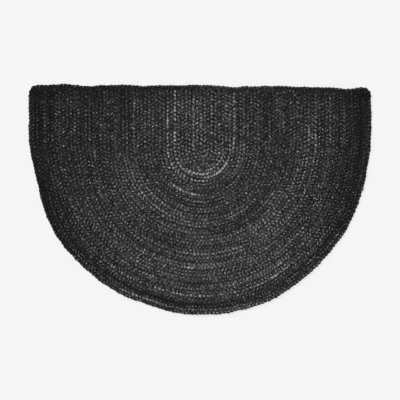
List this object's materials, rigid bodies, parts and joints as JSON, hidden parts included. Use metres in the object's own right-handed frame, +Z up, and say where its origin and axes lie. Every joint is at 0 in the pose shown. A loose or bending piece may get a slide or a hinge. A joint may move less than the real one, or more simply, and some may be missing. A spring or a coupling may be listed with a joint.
{
  "type": "braided half-moon doormat",
  "caption": "Half-moon door mat sewn from rows of flat jute braid nested round a short straight centre braid, with a braid border along the straight edge and the curved rim.",
  "frame": {"origin": "on the floor under the middle of the mat's box", "axes": "+X to the right as the mat is seen from above with its straight edge up, +Y towards the straight edge, +Z up"},
  "size_m": [0.8984, 0.6063, 0.0092],
  "materials": {
    "field_jute": "matt charcoal-dyed jute braid with paler undyed fibre ends",
    "border_jute": "matt near-black dyed jute braid"
  },
  "bodies": {
    "root": {"braided_field": "field_jute", "border_braid": "border_jute"}
  },
  "joints": []
}
